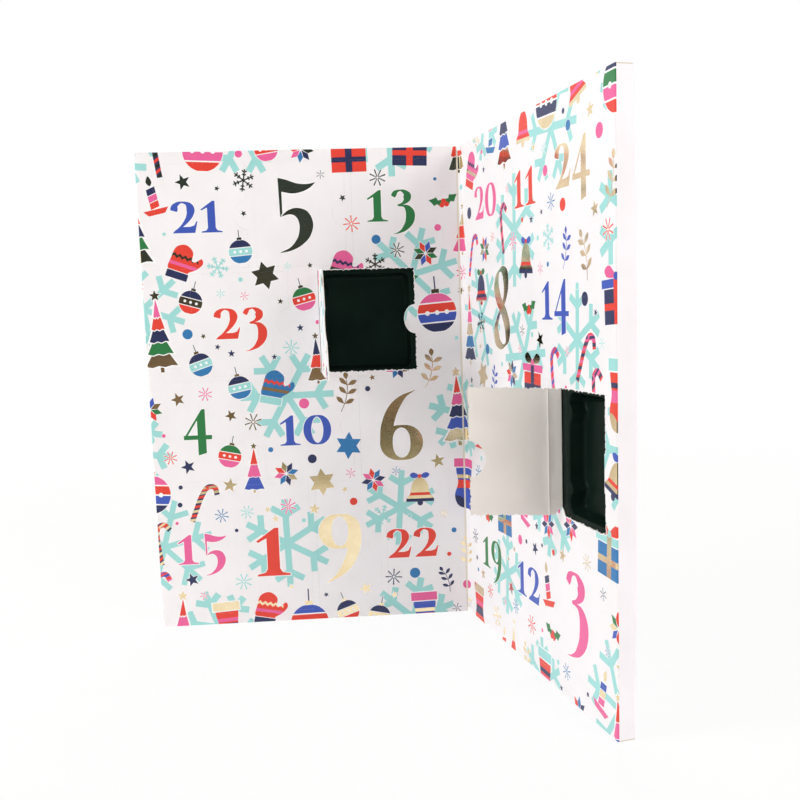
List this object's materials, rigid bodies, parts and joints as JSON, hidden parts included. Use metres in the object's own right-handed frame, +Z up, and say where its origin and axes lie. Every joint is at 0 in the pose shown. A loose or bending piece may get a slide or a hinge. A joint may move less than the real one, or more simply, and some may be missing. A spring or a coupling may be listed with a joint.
{
  "type": "cardboard advent calendar box",
  "caption": "Book-style cardboard advent calendar: flat cartons joined by a spine strip, perforated numbered doors over tray pockets, standing open.",
  "frame": {"origin": "bottom centre of the whole opened calendar's box, on the surface it stands on", "axes": "+Z up along the height of the panels; the left half's printed face looks along -Y, and the right half swings from the spine towards -Y"},
  "size_m": [0.293, 0.2442, 0.35],
  "materials": {
    "printed_board": "coated board, printed in colour and foil",
    "door_board": "coated board, printed outside and plain inside",
    "white_board": "smooth white board",
    "tray_plastic": "glossy vacuum-formed sheet"
  },
  "bodies": {
    "left_half": {"left_front_panel": "printed_board", "left_back_shell": "white_board", "left_bottom_flap": "white_board", "left_top_flap": "white_board", "left_tray": "tray_plastic"},
    "spine": {"spine_strip": "printed_board"},
    "right_half": {"right_front_panel": "printed_board", "right_back_shell": "white_board", "right_bottom_flap": "white_board", "right_top_flap": "white_board", "right_tray": "tray_plastic"},
    "door_01": {"door_01": "door_board"},
    "door_02": {"door_02": "door_board"},
    "door_03": {"door_03": "door_board"},
    "door_04": {"door_04": "door_board"},
    "door_05": {"door_05": "door_board"},
    "door_06": {"door_06": "door_board"},
    "door_07": {"door_07": "door_board"},
    "door_08": {"door_08": "door_board"},
    "door_09": {"door_09": "door_board"},
    "door_10": {"door_10": "door_board"},
    "door_11": {"door_11": "door_board"},
    "door_12": {"door_12": "door_board"},
    "door_13": {"door_13": "door_board"},
    "door_14": {"door_14": "door_board"},
    "door_15": {"door_15": "door_board"},
    "door_16": {"door_16": "door_board"},
    "door_17": {"door_17": "door_board"},
    "door_18": {"door_18": "door_board"},
    "door_19": {"door_19": "door_board"},
    "door_20": {"door_20": "door_board"},
    "door_21": {"door_21": "door_board"},
    "door_22": {"door_22": "door_board"},
    "door_23": {"door_23": "door_board"},
    "door_24": {"door_24": "door_board"}
  },
  "joints": [
    {"name": "spine_left_fold", "type": "hinge", "parent": "left_half", "child": "spine", "pos_m": [0.08561, 0.10746, 0], "axis": [0, 0, 1], "range_deg": [-32.5, 39.25]},
    {"name": "spine_right_fold", "type": "hinge", "parent": "spine", "child": "right_half", "pos_m": [0.08809, 0.10543, 0], "axis": [0, 0, 1], "range_deg": [-32.5, 39.25]},
    {"name": "door_01_hinge", "type": "hinge", "parent": "left_half", "child": "door_01", "pos_m": [-0.08089, 0.10731, 0], "axis": [0, 0, -1], "range_deg": [0, 170]},
    {"name": "door_02_hinge", "type": "hinge", "parent": "right_half", "child": "door_02", "pos_m": [0.121, -0.05707, 0], "axis": [0, 0, -1], "range_deg": [-101, 69]},
    {"name": "door_03_hinge", "type": "hinge", "parent": "right_half", "child": "door_03", "pos_m": [0.11871, -0.0458, 0], "axis": [0, 0, -1], "range_deg": [0, 170]},
    {"name": "door_04_hinge", "type": "hinge", "parent": "left_half", "child": "door_04", "pos_m": [-0.13439, 0.10731, 0], "axis": [0, 0, -1], "range_deg": [0, 170]},
    {"name": "door_05_hinge", "type": "hinge", "parent": "left_half", "child": "door_05", "pos_m": [-0.06339, 0.10731, 0], "axis": [0, 0, -1], "range_deg": [0, 170]},
    {"name": "door_06_hinge", "type": "hinge", "parent": "left_half", "child": "door_06", "pos_m": [0.00761, 0.10731, 0], "axis": [0, 0, -1], "range_deg": [0, 170]},
    {"name": "door_07_hinge", "type": "hinge", "parent": "right_half", "child": "door_07", "pos_m": [0.10066, 0.04288, 0], "axis": [0, 0, -1], "range_deg": [0, 170]},
    {"name": "door_08_hinge", "type": "hinge", "parent": "right_half", "child": "door_08", "pos_m": [0.09478, 0.07179, 0], "axis": [0, 0, -1], "range_deg": [0, 128]},
    {"name": "door_09_hinge", "type": "hinge", "parent": "left_half", "child": "door_09", "pos_m": [-0.02789, 0.10731, 0], "axis": [0, 0, -1], "range_deg": [0, 170]},
    {"name": "door_10_hinge", "type": "hinge", "parent": "left_half", "child": "door_10", "pos_m": [-0.06339, 0.10731, 0], "axis": [0, 0, -1], "range_deg": [0, 170]},
    {"name": "door_11_hinge", "type": "hinge", "parent": "right_half", "child": "door_11", "pos_m": [0.10455, 0.02378, 0], "axis": [0, 0, -1], "range_deg": [0, 170]},
    {"name": "door_12_hinge", "type": "hinge", "parent": "right_half", "child": "door_12", "pos_m": [0.10455, 0.02378, 0], "axis": [0, 0, -1], "range_deg": [0, 170]},
    {"name": "door_13_hinge", "type": "hinge", "parent": "left_half", "child": "door_13", "pos_m": [0.00761, 0.10731, 0], "axis": [0, 0, -1], "range_deg": [0, 170]},
    {"name": "door_14_hinge", "type": "hinge", "parent": "right_half", "child": "door_14", "pos_m": [0.11332, -0.01934, 0], "axis": [0, 0, -1], "range_deg": [0, 170]},
    {"name": "door_15_hinge", "type": "hinge", "parent": "left_half", "child": "door_15", "pos_m": [-0.13389, 0.10731, 0], "axis": [0, 0, -1], "range_deg": [0, 170]},
    {"name": "door_16_hinge", "type": "hinge", "parent": "right_half", "child": "door_16", "pos_m": [0.09049, 0.09286, 0], "axis": [0, 0, -1], "range_deg": [0, 116]},
    {"name": "door_17_hinge", "type": "hinge", "parent": "left_half", "child": "door_17", "pos_m": [-0.01939, 0.10731, 0], "axis": [0, 0, -1], "range_deg": [-85, 85]},
    {"name": "door_18_hinge", "type": "hinge", "parent": "right_half", "child": "door_18", "pos_m": [0.11083, -0.00709, 0], "axis": [0, 0, -1], "range_deg": [0, 170]},
    {"name": "door_19_hinge", "type": "hinge", "parent": "right_half", "child": "door_19", "pos_m": [0.0904, 0.09335, 0], "axis": [0, 0, -1], "range_deg": [0, 110]},
    {"name": "door_20_hinge", "type": "hinge", "parent": "right_half", "child": "door_20", "pos_m": [0.0904, 0.09335, 0], "axis": [0, 0, -1], "range_deg": [0, 110]},
    {"name": "door_21_hinge", "type": "hinge", "parent": "left_half", "child": "door_21", "pos_m": [-0.13439, 0.10731, 0], "axis": [0, 0, -1], "range_deg": [0, 170]},
    {"name": "door_22_hinge", "type": "hinge", "parent": "left_half", "child": "door_22", "pos_m": [0.02511, 0.10731, 0], "axis": [0, 0, -1], "range_deg": [0, 170]},
    {"name": "door_23_hinge", "type": "hinge", "parent": "left_half", "child": "door_23", "pos_m": [-0.11239, 0.10731, 0], "axis": [0, 0, -1], "range_deg": [0, 170]},
    {"name": "door_24_hinge", "type": "hinge", "parent": "right_half", "child": "door_24", "pos_m": [0.11871, -0.0458, 0], "axis": [0, 0, -1], "range_deg": [0, 170]}
  ],
  "couplings": [
    {"joint": "spine_right_fold", "follows": "spine_left_fold", "ratio": 1}
  ]
}
